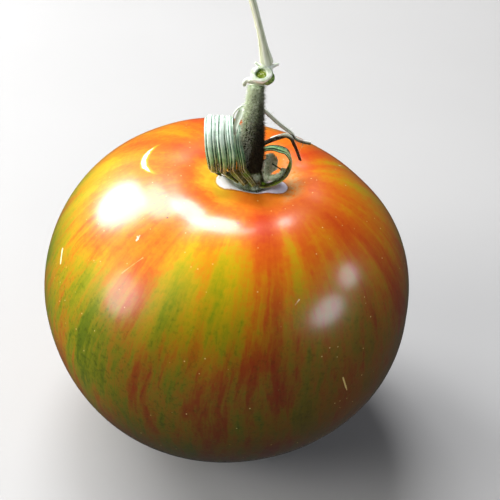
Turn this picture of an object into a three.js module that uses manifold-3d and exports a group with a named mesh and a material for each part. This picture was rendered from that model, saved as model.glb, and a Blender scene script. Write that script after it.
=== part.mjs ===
// A striped heirloom tomato, as picked: one round fruit with its dried calyx and its stem.
// Millimetres, +Z up. The origin is the centre of the small flat spot that the fruit rests on,
// -Y is the front, and +X is the side with the ring-shaped sepal.
import * as THREE from "three";
import { mergeVertices } from "three/addons/utils/BufferGeometryUtils.js";
import Module from "manifold-3d";

const radians = THREE.MathUtils.degToRad;
const at = (x, y, z) => new THREE.Vector3(x, y, z);

// Driving dimensions of the fruit. Its top bulges unevenly, so the rise, the width and the furrows
// each vary with the bearing round the stem, measured from +X towards +Y.
const FRUIT = {
  radius: 46,
  equatorHeight: 40,
  shoulderRise: 39.3,
  baseDrop: 40.8,
  shoulderFullness: 0.855,
  baseFullness: 0.833,
  sides: 80,
  rings: 40,
  ringCrowding: 1.2,
};
const STEM_AXIS = { x: 8.3, y: -0.8 };
const SHOULDER_TILT = { share: 0.119, bearing: radians(173) };
const DIAGONAL_SWELL = { share: 0.054, bearing: radians(-43) };
const THREE_SIDED_SWELL = { share: 0.024, bearing: radians(-5) };
const CAVITY = { depth: 6.7, radius: 14.2 };
const CORK_RING = { height: 0.9, radius: 6.3, width: 1.9, highShare: 0.6, highBearing: radians(222) };
const FURROW = { depth: 0.014, width: radians(11), polar: radians(30), reach: radians(27) };

// The furrows: the bearing of each, in degrees, and its share of the full depth.
const FURROWS = [
  { bearing: 20, share: 0.6 },
  { bearing: 78, share: 0.6 },
  { bearing: 128, share: 0.3 },
  { bearing: 170, share: 0.2 },
  { bearing: 234, share: 0.6 },
  { bearing: 289, share: 0.45 },
  { bearing: 330, share: 0.4 },
];

// Driving dimensions of the stem, from the receptacle in the cavity up to the cut top of the stalk.
const RECEPTACLE = { radius: 3.3, height: 2.2, crown: 0.7, footShare: 0.85, rimShare: 0.97, topShare: 0.8 };
const PEDICEL = { foot: 2.45, neck: 1.5, taperFrom: 0.42, taperLength: 0.55, ribs: 5, ribShare: 0.05 };
const PEDICEL_FLARE = { height: 0.6, reach: 0.1 };
const PEDICEL_LINE = [
  at(8.3, -0.8, 74),
  at(8.3, -0.8, 80),
  at(8.35, -0.8, 87),
  at(8.75, -0.8, 94),
  at(9.3, -0.8, 100),
];
const JOINT_LINE = [
  at(9.35, -0.8, 100.65),
  at(9.7, -0.75, 101.5),
  at(10.6, -0.6, 102.7),
  at(11.1, -0.8, 104.2),
  at(11.25, -0.7, 105),
];
const JOINT = { radius: 1.35, swell: 0.65, swellAt: 0.5, swellReach: 0.28, ribs: 3, ribShare: 0.06 };
const BULGE_LINE = [at(11.1, -1.5, 101.2), at(11.7, -1.6, 102.3), at(12.2, -1.4, 103.5)];
const BULGE = { radius: 0.95, swell: 0.5 };
const STUB_LINE = [at(10.6, -1.1, 101.6), at(10.2, -3.1, 104.4)];
const STUB = { radius: 2.1, waist: 0.65, fullAt: 0.83, ribs: 2, ribShare: 0.13 };
const CUP = { radius: 1.2, depth: 0.6 };
const LIP_LINE = [
  at(9.2, -1.2, 101.4),
  at(7.9, -1.7, 101.8),
  at(6.9, -1.9, 101.8),
  at(6.55, -1.9, 101.2),
  at(6.6, -1.9, 100.6),
];
const LIP = { foot: 0.85, tip: 0.42 };
const SCALE_LINES = [
  [at(10.4, -0.9, 104.3), at(9.5, -1, 105), at(8.9, -1, 105.6)],
  [at(12.2, -0.9, 104.3), at(13.2, -0.9, 104.8), at(14, -1, 105.2)],
];
const SCALE = { foot: 0.6, tip: 0.35 };
const STALK_LINE = [
  at(11.5, -0.6, 105.75),
  at(11, -0.75, 108),
  at(10.3, -0.7, 111.8),
  at(9.35, -0.4, 116),
  at(8.3, 0, 120.1),
  at(6.7, 0.5, 125),
];
const STALK = { radius: 0.78, foot: 1.3, footReach: 0.2, ribs: 4, ribShare: 0.08 };

// Driving dimensions of the sepals. A mesh that touches its neighbour keeps this gap to it.
const MEETING_GAP = 0.3;
const BLADE = { thickness: 0.62, steps: 26, rootTurn: 0.35, taperFrom: 0.55 };
const BLADE_ROOT = { share: 0.55, reach: 0.2 };
const SEPAL_ROOT = { radius: RECEPTACLE.radius + 0.75, height: 75.45 };

// The four coiled sepals: `root` is the bearing of the root round the receptacle, and the coil
// rolls about the X direction, round `hub` (its y and z), from one angle to the other, where 0 is
// straight below the hub and 90 is in front of it. `slant` carries its start towards the root, and
// past `driftFrom` every coil drifts to the right.
const COILS = [
  { root: 193, x: -1.5, slant: 0.8, hub: [2.1, 82.8], radius: 6.6, from: 20, to: 322, width: 2 },
  { root: 218, x: 0.6, slant: 1, hub: [2, 82.7], radius: 6.7, from: 40, to: 316, width: 1.9 },
  { root: 245, x: 2.7, slant: 1.3, hub: [2, 82.6], radius: 6.6, from: 54, to: 310, width: 1.9 },
  { root: 276, x: 4.6, slant: 2.2, hub: [2, 81], radius: 6, from: 66, to: 285, width: 1.5 },
];
const COIL = { tightening: 0.12, stepDegrees: 28, arch: 0.4, tip: 0.6, drift: 1, driftFrom: 205 };

// A smooth step from 0 to 1 as x goes from 0 to 1.
const ease = (x) => THREE.MathUtils.smoothstep(x, 0, 1);
const bump = (x) => Math.exp(-x * x);
const TURN = 2 * Math.PI;

// A closed solid skinned over rings of equal count, each end closed by a fan to its own middle.
function skin(rings) {
  const count = rings[0].length;
  const points = rings.flat();
  const faces = [];
  for (let i = 0; i + 1 < rings.length; i++) {
    for (let j = 0; j < count; j++) {
      const a = i * count + j;
      const b = i * count + ((j + 1) % count);
      faces.push(a, b, b + count, a, b + count, a + count);
    }
  }
  const last = (rings.length - 1) * count;
  const bottom = points.length;
  const top = bottom + 1;
  const middle = (ring) => ring.reduce((sum, p) => sum.add(p), at(0, 0, 0)).divideScalar(count);
  points.push(middle(rings[0]), middle(rings.at(-1)));
  for (let j = 0; j < count; j++) {
    const k = (j + 1) % count;
    faces.push(bottom, k, j, top, last + j, last + k);
  }
  const geometry = new THREE.BufferGeometry().setFromPoints(points);
  geometry.setIndex(faces);
  return geometry;
}

// A tube round a curve, with the radius given at each share of its length and a few low ribs.
function tube(points, radiusAt, { steps, sides, ribs = 0, ribShare = 0 }) {
  const curve = new THREE.CatmullRomCurve3(points);
  const rings = [];
  for (let i = 0; i <= steps; i++) {
    const centre = curve.getPointAt(i / steps);
    const along = curve.getTangentAt(i / steps);
    const v = at(0, 0, 0).crossVectors(along, at(1, 0, 0)).normalize();
    const u = at(0, 0, 0).crossVectors(v, along);
    const ring = [];
    for (let j = 0; j < sides; j++) {
      const angle = (TURN * j) / sides;
      const r = radiusAt(i / steps) * (1 + ribShare * Math.cos(ribs * angle));
      const spoke = u.clone().multiplyScalar(r * Math.cos(angle)).addScaledVector(v, r * Math.sin(angle));
      ring.push(centre.clone().add(spoke));
    }
    rings.push(ring);
  }
  return skin(rings);
}

// Joining and cutting of closed meshes.
const wasm = await Module();
wasm.setup();

function toSolid(geometry) {
  const bare = geometry.clone();
  bare.deleteAttribute("normal");
  bare.deleteAttribute("uv");
  const merged = mergeVertices(bare, 1e-4);
  const mesh = new wasm.Mesh({
    numProp: 3,
    vertProperties: new Float32Array(merged.attributes.position.array),
    triVerts: new Uint32Array(merged.index.array),
  });
  return new wasm.Manifold(mesh);
}

function toGeometry(solid) {
  const mesh = solid.getMesh();
  const geometry = new THREE.BufferGeometry();
  geometry.setAttribute("position", new THREE.BufferAttribute(mesh.vertProperties, 3));
  geometry.setIndex(new THREE.BufferAttribute(mesh.triVerts, 1));
  return geometry;
}

const tomato = new THREE.Group();

function addPart(name, geometry, look) {
  geometry.computeVertexNormals();
  const mesh = new THREE.Mesh(geometry, new THREE.MeshStandardMaterial(look));
  mesh.name = name;
  tomato.add(mesh);
}

// The fruit: a flattened globe, a little wider across one diagonal, with its left shoulder raised,
// weak furrows running down from the stem cavity, a low corky ring in the cavity, and a flat spot
// worn on its underside.
function furrowDepth(polar, bearing) {
  const fade = bump((polar - FURROW.polar) / FURROW.reach);
  const depths = FURROWS.map((furrow) => {
    const turned = bearing - radians(furrow.bearing) + Math.PI;
    const away = THREE.MathUtils.euclideanModulo(turned, TURN) - Math.PI;
    return furrow.share * FURROW.depth * bump(away / FURROW.width);
  });
  return fade * depths.reduce((sum, depth) => sum + depth, 0);
}

// The skin at a polar angle from the stem (0) to the underside (half a turn), on a bearing.
function fruitPoint(polar, bearing) {
  const c = Math.cos(polar);
  const s = Math.sin(polar);
  const swell =
    DIAGONAL_SWELL.share * Math.cos(2 * (bearing - DIAGONAL_SWELL.bearing)) +
    THREE_SIDED_SWELL.share * Math.cos(3 * (bearing - THREE_SIDED_SWELL.bearing));
  const shrink = 1 - furrowDepth(polar, bearing);
  const fullness = c > 0 ? FRUIT.shoulderFullness : FRUIT.baseFullness;
  const reach = FRUIT.radius * s ** fullness * (1 + swell) * shrink;
  const x = reach * Math.cos(bearing);
  const y = reach * Math.sin(bearing);
  if (c <= 0) return at(x, y, Math.max(0, FRUIT.equatorHeight + FRUIT.baseDrop * c));
  const tilt = 1 + SHOULDER_TILT.share * Math.cos(bearing - SHOULDER_TILT.bearing) * s;
  const cork = CORK_RING.height * (1 + CORK_RING.highShare * Math.cos(bearing - CORK_RING.highBearing));
  const height =
    FRUIT.equatorHeight +
    FRUIT.shoulderRise * tilt * shrink * c -
    CAVITY.depth * bump(reach / CAVITY.radius) +
    cork * bump((reach - CORK_RING.radius) / CORK_RING.width);
  const lean = c ** 1.5;
  return at(x + STEM_AXIS.x * lean, y + STEM_AXIS.y * lean, height);
}

function makeFruit() {
  const flatEdge = Math.acos(-FRUIT.equatorHeight / FRUIT.baseDrop);
  const rings = [];
  for (let i = 0; i < FRUIT.rings; i++) {
    const polar = flatEdge * (1 - i / FRUIT.rings) ** FRUIT.ringCrowding;
    const ring = [];
    for (let j = 0; j < FRUIT.sides; j++) ring.push(fruitPoint(polar, (TURN * j) / FRUIT.sides));
    if (i === 0) ring.forEach((p) => p.setZ(0));
    rings.push(ring);
  }
  return skin(rings);
}

const fruitGeometry = makeFruit();
addPart("fruit", fruitGeometry, { color: 0xd4661f, roughness: 0.25 });

// The pedicel: the hairy green stem of the fruit, widening at its foot into the receptacle that
// carries the sepals. Its underside follows the floor of the stem cavity.
function makePedicel() {
  const radius = (t) => {
    const share = ease((t - PEDICEL.taperFrom) / PEDICEL.taperLength);
    const taper = THREE.MathUtils.lerp(PEDICEL.foot, PEDICEL.neck, share);
    return taper + PEDICEL_FLARE.height * bump(t / PEDICEL_FLARE.reach);
  };
  const stem = tube(PEDICEL_LINE, radius, { steps: 18, sides: 20, ...PEDICEL });
  const floor = fruitPoint(0, 0).z;
  const rim = floor + RECEPTACLE.height;
  const profile = [
    [0, floor - 1],
    [RECEPTACLE.radius * RECEPTACLE.footShare, floor - 1],
    [RECEPTACLE.radius, rim - RECEPTACLE.crown],
    [RECEPTACLE.radius * RECEPTACLE.rimShare, rim - RECEPTACLE.crown / 3],
    [RECEPTACLE.radius * RECEPTACLE.topShare, rim],
    [0, rim],
  ].map(([x, y]) => new THREE.Vector2(x, y));
  const receptacle = new THREE.LatheGeometry(profile, 24);
  receptacle.rotateX(Math.PI / 2).translate(STEM_AXIS.x, STEM_AXIS.y, 0);
  const seat = toSolid(fruitGeometry).translate(0, 0, MEETING_GAP);
  return toGeometry(toSolid(stem).add(toSolid(receptacle)).subtract(seat));
}

addPart("pedicel", makePedicel(), { color: 0x5b6a3c, roughness: 0.85 });

// The knuckle: the swollen joint on top of the pedicel, bulging to the right, with a stub of the
// truss beside it that was cut across, so that its green pith lies in a shallow cup, a torn lip
// that hooks down on the left, and two scales at the foot of the stalk.
const taper = ({ foot, tip }) => (t) => THREE.MathUtils.lerp(foot, tip, t);

function makeKnuckle() {
  const jointRadius = (t) => JOINT.radius + JOINT.swell * bump((t - JOINT.swellAt) / JOINT.swellReach);
  const joint = tube(JOINT_LINE, jointRadius, { steps: 9, sides: 18, ...JOINT });
  const bulgeRadius = (t) => BULGE.radius + BULGE.swell * Math.sin(Math.PI * t);
  const bulge = tube(BULGE_LINE, bulgeRadius, { steps: 6, sides: 14 });
  const stubRadius = (t) => STUB.radius * THREE.MathUtils.lerp(STUB.waist, 1, ease(t / STUB.fullAt));
  const stub = tube(STUB_LINE, stubRadius, { steps: 6, sides: 18, ...STUB });
  const face = STUB_LINE[1];
  const outward = face.clone().sub(STUB_LINE[0]).normalize();
  const cupFloor = face.clone().addScaledVector(outward, -CUP.depth);
  const cupMouth = face.clone().addScaledVector(outward, 1);
  const cup = tube([cupFloor, cupMouth], () => CUP.radius, { steps: 1, sides: 14 });
  const lip = tube(LIP_LINE, taper(LIP), { steps: 8, sides: 8 });
  const scales = SCALE_LINES.map((line) => tube(line, taper(SCALE), { steps: 3, sides: 8 }));
  const body = [joint, bulge, stub, lip, ...scales].map(toSolid).reduce((sum, part) => sum.add(part));
  return toGeometry(body.subtract(toSolid(cup)));
}

addPart("knuckle", makeKnuckle(), { color: 0xb9c48d, roughness: 0.8 });

// The stalk: the pale, dry piece of truss stalk left above the knuckle, cut off at its top.
const stalkRadius = (t) => STALK.radius + (STALK.foot - STALK.radius) * bump(t / STALK.footReach);
const stalkGeometry = tube(STALK_LINE, stalkRadius, { steps: 20, sides: 14, ...STALK });
addPart("stalk", stalkGeometry, { color: 0xd9dcc0, roughness: 0.75 });

// The sepals: long, narrow, dried blades rooted round the receptacle. A blade follows its midrib
// from its root. Across it, it is arched by `arch`, and lies along `across`. It narrows to the
// share `tip` of its width at its end.
const sepalRoot = (bearing) =>
  at(
    STEM_AXIS.x + SEPAL_ROOT.radius * Math.cos(radians(bearing)),
    STEM_AXIS.y + SEPAL_ROOT.radius * Math.sin(radians(bearing)),
    SEPAL_ROOT.height,
  );

const FACE_STOPS = [-1, -0.55, 0, 0.55, 1];
const BACK_STOPS = [0.75, 0.35, -0.35, -0.75];

function blade({ root, midrib, across, width, arch, tip = 0.45 }) {
  const curve = new THREE.CatmullRomCurve3([sepalRoot(root), ...midrib], false, "centripetal");
  const rootAcross = at(-Math.sin(radians(root)), Math.cos(radians(root)), 0);
  if (rootAcross.dot(across) < 0) rootAcross.negate();
  const rings = [];
  for (let i = 0; i <= BLADE.steps; i++) {
    const share = i / BLADE.steps;
    const centre = curve.getPointAt(share);
    const along = curve.getTangentAt(share);
    const side = rootAcross.clone().lerp(across, ease(share / BLADE.rootTurn));
    side.addScaledVector(along, -side.dot(along)).normalize();
    const outward = at(0, 0, 0).crossVectors(side, along);
    const late = (share - BLADE.taperFrom) / (1 - BLADE.taperFrom);
    const narrowing = THREE.MathUtils.lerp(1, tip, ease(late));
    const opening = THREE.MathUtils.lerp(BLADE_ROOT.share, 1, ease(share / BLADE_ROOT.reach));
    const half = (width / 2) * narrowing * opening;
    const point = (x, depth) => {
      const rise = arch * (1 - x * x) - depth;
      return centre.clone().addScaledVector(side, x * half).addScaledVector(outward, rise);
    };
    const face = FACE_STOPS.map((x) => point(x, 0));
    const back = BACK_STOPS.map((x) => point(x, BLADE.thickness));
    rings.push([...face, ...back]);
  }
  return skin(rings);
}

const GREEN_BLADE = { color: 0x8fa37c, roughness: 0.75 };
const DRY_BLADE = { color: 0x8b8560, roughness: 0.85 };

// Four long sepals side by side on the left, each curled up and over like a rolled ribbon.
COILS.forEach(({ root, x, slant, hub, radius, from, to, width }, index) => {
  const midrib = [];
  const turns = Math.round((to - from) / COIL.stepDegrees);
  for (let i = 0; i <= turns; i++) {
    const angle = THREE.MathUtils.lerp(from, to, i / turns);
    const r = radius * (1 - (COIL.tightening * angle) / 360);
    const drift = (COIL.drift * Math.max(0, angle - COIL.driftFrom)) / 100;
    const aside = x + slant * Math.max(0, 1 - angle / 180) + drift;
    const [y, z] = [hub[0] - r * Math.sin(radians(angle)), hub[1] - r * Math.cos(radians(angle))];
    midrib.push(at(aside, y, z));
  }
  const shape = blade({ root, midrib, across: at(1, 0, 0), width, arch: COIL.arch, tip: COIL.tip });
  addPart(`sepal_coil_${index + 1}`, shape, GREEN_BLADE);
});

// The ring sepal on the right sweeps out, up and back until its tip passes behind the pedicel.
const ringMidrib = [
  at(11.3, -4.9, 75.4),
  at(14.1, -4.6, 76.3),
  at(16.4, -3.6, 78.2),
  at(17.2, -2.2, 80.6),
  at(16.3, -0.6, 82.1),
  at(14.1, 0.9, 82.1),
  at(11.9, 1.8, 81.5),
  at(10.4, 2.3, 80.6),
];
const RING = { root: 298, midrib: ringMidrib, across: at(0, 1, 0), width: 2.3, arch: 0.35, tip: 0.6 };
addPart("sepal_ring", blade(RING), GREEN_BLADE);

// A short, broad, cupped sepal stands beside the pedicel, inside the ring.
const innerMidrib = [at(13, -1.5, 77.3), at(13.3, -0.9, 79.4), at(13, -0.2, 81.2)];
const INNER = { root: 345, midrib: innerMidrib, across: at(-0.6, 0.8, 0), width: 3.4, arch: 0.5 };
addPart("sepal_inner", blade(INNER), GREEN_BLADE);

// Three withered sepals stand up behind the pedicel: one is bent down sharply to the right, one
// sags further to the right, and one folds over to the left.
const bentMidrib = [
  at(10.1, 4, 78.8),
  at(11.1, 3.9, 81.3),
  at(12.7, 3.6, 82.7),
  at(14.6, 3.2, 83.8),
  at(16.2, 2.6, 84.6),
  at(17.4, 2.3, 84.1),
  at(18.2, 2.2, 82.3),
  at(19.8, 2.2, 77.8),
];
const BENT = { root: 65, midrib: bentMidrib, across: at(0, -1, 0), width: 1.2, arch: 0.2 };
addPart("sepal_dry_bent", blade(BENT), DRY_BLADE);
const longMidrib = [
  at(8.3, 3.5, 80),
  at(8.5, 3.6, 85.2),
  at(9.6, 3.5, 90.1),
  at(10.8, 3.4, 91),
  at(12.4, 3.6, 89.3),
  at(14.7, 3.8, 86.8),
  at(17.7, 3.9, 84),
  at(18.5, 3.8, 82.8),
  at(20.2, 3.7, 82),
  at(22.1, 3.6, 81.6),
];
const LONG = { root: 98, midrib: longMidrib, across: at(0, -1, 0), width: 1.1, arch: 0.15 };
addPart("sepal_dry_long", blade(LONG), DRY_BLADE);
const foldedMidrib = [
  at(7.1, 3.2, 82.8),
  at(7, 3, 89.1),
  at(6.8, 2.4, 91.7),
  at(6.1, 1.9, 92),
  at(5.5, 1.4, 91.2),
  at(4.8, 0.6, 89.9),
  at(4.1, -1, 87),
];
const FOLDED = { root: 130, midrib: foldedMidrib, across: at(0.6, 0.8, 0), width: 1.7, arch: 0.2 };
addPart("sepal_dry_left", blade(FOLDED), DRY_BLADE);

export default tomato;
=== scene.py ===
import math
import random

import bmesh
import bpy
import numpy as np
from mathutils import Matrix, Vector


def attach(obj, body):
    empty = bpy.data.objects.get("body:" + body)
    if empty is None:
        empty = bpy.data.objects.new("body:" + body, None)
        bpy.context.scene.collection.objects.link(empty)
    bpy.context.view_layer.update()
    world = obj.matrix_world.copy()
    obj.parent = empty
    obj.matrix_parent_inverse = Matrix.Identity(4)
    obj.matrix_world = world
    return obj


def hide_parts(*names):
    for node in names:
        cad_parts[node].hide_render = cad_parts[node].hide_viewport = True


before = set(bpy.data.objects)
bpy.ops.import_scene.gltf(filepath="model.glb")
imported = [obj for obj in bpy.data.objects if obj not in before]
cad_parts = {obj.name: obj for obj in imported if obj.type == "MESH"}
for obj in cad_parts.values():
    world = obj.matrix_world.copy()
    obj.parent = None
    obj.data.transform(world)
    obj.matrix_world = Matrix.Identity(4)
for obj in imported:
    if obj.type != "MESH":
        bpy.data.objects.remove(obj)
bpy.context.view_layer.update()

MM = 0.001

# Camera.
# It stands in front of the fruit and looks down on it by 40 degrees, close enough that the far
# side of the fruit is foreshortened.
CAMERA_PITCH = math.radians(40)
CAMERA_AIM = Vector((7.8, 0, 51.9)) * MM
CAMERA_DISTANCE = 264 * MM
CAMERA_LENS = 75.8
camera = bpy.data.objects.new("camera", bpy.data.cameras.new("camera"))
camera.data.lens = CAMERA_LENS
camera.data.sensor_width = 36
camera.data.clip_start = 0.01
forward = Vector((0, math.cos(CAMERA_PITCH), -math.sin(CAMERA_PITCH)))
camera.location = CAMERA_AIM - forward * CAMERA_DISTANCE
camera.rotation_euler = (math.pi / 2 - CAMERA_PITCH, 0, 0)
bpy.context.scene.collection.objects.link(camera)
bpy.context.scene.camera = camera
bpy.context.scene.view_settings.view_transform = "Standard"


# Floor.
# A plain pale sheet under everything, with a barely uneven matt surface. The wires and finishes
# below are what every material in the file is made with.
def srgb(red, green, blue):
    """A colour as it is seen, 0 to 255 a channel, as the linear colour that a shader takes."""
    shares = [channel / 255 for channel in (red, green, blue)]
    return tuple(s / 12.92 if s <= 0.04045 else ((s + 0.055) / 1.055) ** 2.4 for s in shares) + (1,)


class Wire:
    """An output of a node. A sum written with wires adds Math nodes to their material."""

    def __init__(self, finish, socket):
        self.finish = finish
        self.socket = socket

    def sum(self, operation, *values):
        return self.finish.node("ShaderNodeMath", values, operation=operation)

    def __add__(self, other):
        return self.sum("ADD", self, other)

    def __sub__(self, other):
        return self.sum("SUBTRACT", self, other)

    def __rsub__(self, other):
        return self.sum("SUBTRACT", other, self)

    def __mul__(self, other):
        return self.sum("MULTIPLY", self, other)

    __radd__ = __add__
    __rmul__ = __mul__

    def other(self, name):
        """Another output of the same node."""
        return Wire(self.finish, self.socket.node.outputs[name])

    def between(self, low, high):
        """0 up to low, 1 from high on, with a soft step between; low may be above high."""
        ends = {"Value": self, "From Min": low, "From Max": high}
        return self.finish.node("ShaderNodeMapRange", ends, interpolation_type="SMOOTHSTEP")


class Finish:
    """A material, with its Principled shader and the means to add nodes to it."""

    def __init__(self, name, **shader_values):
        self.material = bpy.data.materials.new(name)
        self.material.use_nodes = True
        self.tree = self.material.node_tree
        self.shader = self.tree.nodes["Principled BSDF"]
        for socket, value in shader_values.items():
            self.shader.inputs[socket.replace("_", " ")].default_value = value

    def node(self, kind, inputs=(), output=0, stops=(), **settings):
        """Adds a node. inputs holds values or wires, by place or by name of the input. Each of a
        ramp's stops is a tone and the red, green and blue that it gets, up to 255."""
        made = self.tree.nodes.new(kind)
        for setting, value in settings.items():
            setattr(made, setting, value)
        for index, (position, *colour) in enumerate(stops):
            elements = made.color_ramp.elements
            element = elements[index] if index < 2 else elements.new(position)
            element.position = position
            element.color = srgb(*colour)
        pairs = inputs.items() if isinstance(inputs, dict) else enumerate(inputs)
        for key, value in pairs:
            self.feed(made.inputs[key], value)
        return Wire(self, made.outputs[output])

    def feed(self, socket, value):
        if isinstance(value, Wire):
            self.tree.links.new(value.socket, socket)
        else:
            socket.default_value = value

    def place(self):
        """Where the point lies, in metres. Every piece's own origin is the frame's."""
        return self.node("ShaderNodeTexCoord", output="Object")

    def part(self, vector, axis):
        return self.node("ShaderNodeSeparateXYZ", [vector], output=axis)

    def ramp(self, tone, stops):
        return self.node("ShaderNodeValToRGB", [tone], stops=stops)

    def attribute(self, name, output="Fac"):
        return self.node("ShaderNodeAttribute", output=output, attribute_name=name)

    def stretch(self, vector, scale, shift=(0, 0, 0)):
        return self.node("ShaderNodeVectorMath", [vector, scale, shift], operation="MULTIPLY_ADD")

    def noise(self, vector, scale, detail=2.0, rough=0.5):
        ends = {"Vector": vector, "Scale": scale, "Detail": detail, "Roughness": rough}
        return self.node("ShaderNodeTexNoise", ends)

    def distance(self, vector, point):
        return self.node("ShaderNodeVectorMath", [vector, point], output="Value", operation="DISTANCE")

    def mix(self, mask, first, second):
        """The first colour where mask is 0 and the second where it is 1. Of the node's inputs, 6
        and 7 are the two colours."""
        return self.node("ShaderNodeMix", {0: mask, 6: first, 7: second}, output=2, data_type="RGBA")

    def paint(self, colour, roughness=None, height=None, bump_distance=0.0001, bump_strength=1.0):
        """Feeds the shader its colour and, where they vary, its roughness and its relief."""
        self.feed(self.shader.inputs["Base Color"], colour)
        if roughness is not None:
            self.feed(self.shader.inputs["Roughness"], roughness)
        if height is not None:
            relief = {"Height": height, "Distance": bump_distance, "Strength": bump_strength}
            self.feed(self.shader.inputs["Normal"], self.node("ShaderNodeBump", relief, output="Normal"))

    def cover(self, piece):
        piece.data.materials.clear()
        piece.data.materials.append(self.material)


def add_piece(name, mesh):
    piece = bpy.data.objects.new(name, mesh)
    bpy.context.scene.collection.objects.link(piece)
    return piece


FLOOR_HALF = 3.0
floor_mesh = bpy.data.meshes.new("floor")
corners = [(x * FLOOR_HALF, y * FLOOR_HALF, 0) for x, y in ((-1, -1), (1, -1), (1, 1), (-1, 1))]
floor_mesh.from_pydata(corners, [], [(0, 1, 2, 3)])
floor = add_piece("floor", floor_mesh)
floor_finish = Finish("floor_sheet", Roughness=0.6)
floor_tone = floor_finish.noise(floor_finish.place(), 9.0, 3.0)
floor_finish.paint(floor_finish.mix(floor_tone, srgb(166, 164, 161), srgb(174, 172, 169)))
floor_finish.cover(floor)
floor.visible_glossy = False

# Lights.
# A tall window behind and to the left, bending over into a skylight, gives the long highlight on
# the shoulder. Small lamps give the soft spots at both sides, and two big soft boxes the fill.
LIGHT_CENTRE = Vector((0, 0, 45)) * MM
WORLD_STRENGTH = 0.05
DAYLIGHT, COOL_LAMP, WHITE = (0.94, 0.96, 1.0), (0.80, 0.87, 1.0), (1, 1, 1)
# Each light's direction from the centre, distance in metres, width and height, watts, tint, and
# whether the skin mirrors it.
LIGHTS = [
    ("window", (-0.68, 0.54, 0.47), 0.80, (0.35, 0.46), 6.2, DAYLIGHT, True),
    ("window_head", (-0.37, 0.49, 0.79), 0.80, (0.34, 0.36), 3.2, DAYLIGHT, True),
    ("skylight", (-0.05, 0.49, 0.87), 0.80, (0.32, 0.37), 4.8, DAYLIGHT, True),
    ("right_lamp_high", (0.90, -0.14, 0.42), 0.70, (0.20, 0.18), 0.55, COOL_LAMP, True),
    ("right_lamp_low", (0.78, -0.55, 0.30), 0.70, (0.27, 0.22), 0.90, COOL_LAMP, True),
    ("left_lamp", (-0.90, -0.26, 0.35), 0.70, (0.22, 0.30), 0.9, WHITE, True),
    ("left_fill", (-0.93, -0.10, 0.33), 0.80, (0.50, 0.50), 3.8, WHITE, False),
    ("soft_box", (-0.68, -0.34, 0.70), 0.90, (0.70, 0.70), 2.3, WHITE, False),
]
for name, direction, distance, (width, height), watts, tint, mirrored in LIGHTS:
    lamp = bpy.data.lights.new(name, "AREA")
    lamp.shape = "ELLIPSE"
    lamp.size = width
    lamp.size_y = height
    lamp.energy = watts
    lamp.color = tint
    light = bpy.data.objects.new(name, lamp)
    light.location = LIGHT_CENTRE + Vector(direction).normalized() * distance
    light.rotation_euler = (LIGHT_CENTRE - light.location).to_track_quat("-Z", "Y").to_euler()
    light.visible_camera = False
    light.visible_glossy = mirrored
    bpy.context.scene.collection.objects.link(light)
world = bpy.data.worlds.new("studio")
world.use_nodes = True
background = world.node_tree.nodes["Background"]
background.inputs["Color"].default_value = (1, 1, 1, 1)
background.inputs["Strength"].default_value = WORLD_STRENGTH
bpy.context.scene.world = world

# Fruit.
# One grown body: a flattened globe with a raised left shoulder, weak furrows that run down from the
# stem cavity, a low corky ring in the cavity, and a flat spot worn on the underside.
FRUIT_RADIUS = 45.92 * MM
EQUATOR_HEIGHT = 40 * MM
SHOULDER_RISE = 39.3 * MM
BASE_DROP = 40.8 * MM
SHOULDER_FULLNESS = 0.855
BASE_FULLNESS = 0.833
STEM_AXIS = Vector((8.3, -0.8, 0)) * MM
TILT_SHARE, TILT_BEARING = 0.119, math.radians(173)
SWELL_2_SHARE, SWELL_2_BEARING = 0.054, math.radians(-43)
SWELL_3_SHARE, SWELL_3_BEARING = 0.024, math.radians(-5)
CAVITY_DEPTH, CAVITY_RADIUS = 6.7 * MM, 14.2 * MM
CORK_HEIGHT, CORK_RADIUS, CORK_WIDTH = 0.9 * MM, 6.3 * MM, 1.9 * MM
CORK_HIGH_SHARE, CORK_HIGH_BEARING = 0.6, math.radians(222)
CORK_STEP, CORK_STEP_WIDTH = 0.7 * MM, 1.3 * MM
CORK_LEAST_REACH = 5.4 * MM
CORK_LOBES = [(3.7 * MM, 200, 38), (3.3 * MM, 336, 28)]
FURROWS = [(20, 0.6), (78, 0.6), (128, 0.3), (170, 0.2), (234, 0.6), (289, 0.45), (330, 0.4)]
FURROW_DEPTH, FURROW_WIDTH = 0.014, math.radians(11)
FURROW_POLAR, FURROW_REACH = math.radians(30), math.radians(27)
FRUIT_SIDES = 420
FRUIT_RINGS = 200
RING_CROWDING = 1.15


def bump_curve(x):
    return np.exp(-x * x)


def turn_between(bearing, other):
    return (bearing - other + math.pi) % (2 * math.pi) - math.pi


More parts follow.
